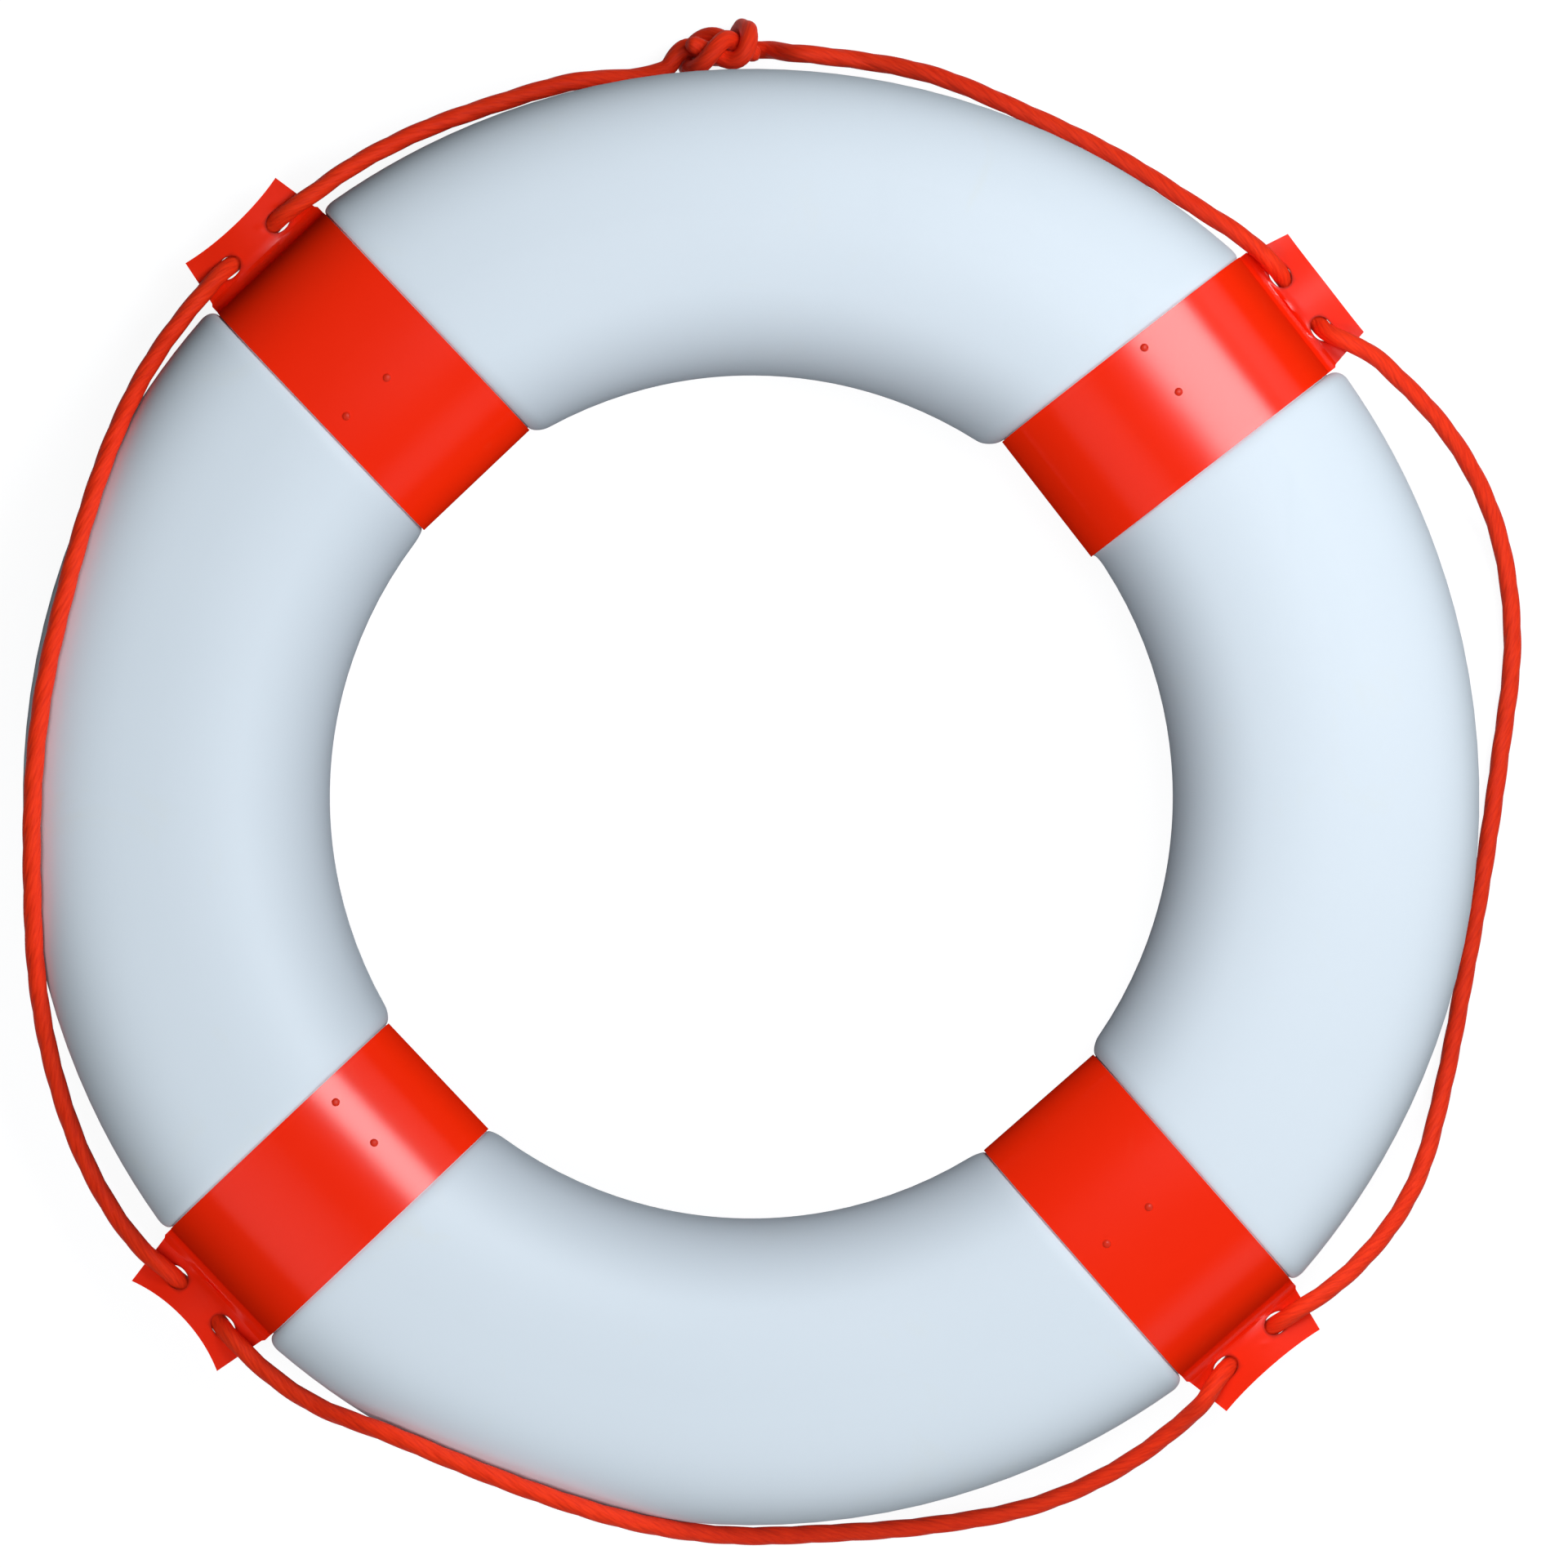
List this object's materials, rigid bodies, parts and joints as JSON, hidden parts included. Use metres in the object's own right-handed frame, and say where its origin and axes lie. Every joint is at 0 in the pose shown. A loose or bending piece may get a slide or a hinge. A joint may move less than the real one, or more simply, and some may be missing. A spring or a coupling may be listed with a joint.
{
  "type": "life ring",
  "caption": "White ring buoy with orange-red bands, whose tabs carry a grab line tied in a reef knot.",
  "frame": {"origin": "bottom centre of the ring, on the plane that it lies on", "axes": "+Z along the ring's axis, out of its front face; +Y towards the knot, which is the top of the hung ring; +X to the right as seen from the front"},
  "size_m": [0.7727, 0.7885, 0.1053],
  "materials": {
    "shell": "satin",
    "core": "matte",
    "plug": "satin",
    "band": "gloss",
    "pin": "satin",
    "rope": "matte"
  },
  "bodies": {
    "ring": {"shell": "shell", "foam_core": "core", "filling_plug": "plug", "band_top_right": "band", "band_top_left": "band", "band_bottom_left": "band", "band_bottom_right": "band", "pin_top_right_1": "pin", "pin_top_right_2": "pin", "pin_top_left_1": "pin", "pin_top_left_2": "pin", "pin_bottom_left_1": "pin", "pin_bottom_left_2": "pin", "pin_bottom_right_1": "pin", "pin_bottom_right_2": "pin", "grab_line_through_top_right": "rope", "grab_line_through_top_left": "rope", "grab_line_through_bottom_left": "rope", "grab_line_through_bottom_right": "rope"},
    "loop_top": {"grab_line_top_right": "rope", "grab_line_top_left": "rope", "knot_left_bight": "rope", "knot_right_bight": "rope"},
    "loop_left": {"grab_line_left": "rope"},
    "loop_bottom": {"grab_line_bottom": "rope"},
    "loop_right": {"grab_line_right": "rope"}
  },
  "joints": [
    {"name": "loop_top_lift", "type": "hinge", "parent": "ring", "child": "loop_top", "pos_m": [0.26136, 0.28231, 0.05847], "axis": [0.9987, -0.0513, 0], "range_deg": [0, 36]},
    {"name": "loop_left_lift", "type": "hinge", "parent": "ring", "child": "loop_left", "pos_m": [-0.28188, 0.26046, 0.05847], "axis": [0.057, 0.9984, 0], "range_deg": [0, 14]},
    {"name": "loop_bottom_lift", "type": "hinge", "parent": "ring", "child": "loop_bottom", "pos_m": [-0.26071, -0.28617, 0.05847], "axis": [-0.9989, 0.0472, 0], "range_deg": [0, 23]},
    {"name": "loop_right_lift", "type": "hinge", "parent": "ring", "child": "loop_right", "pos_m": [0.28749, -0.26349, 0.05847], "axis": [-0.0489, -0.9988, 0], "range_deg": [0, 110]}
  ]
}
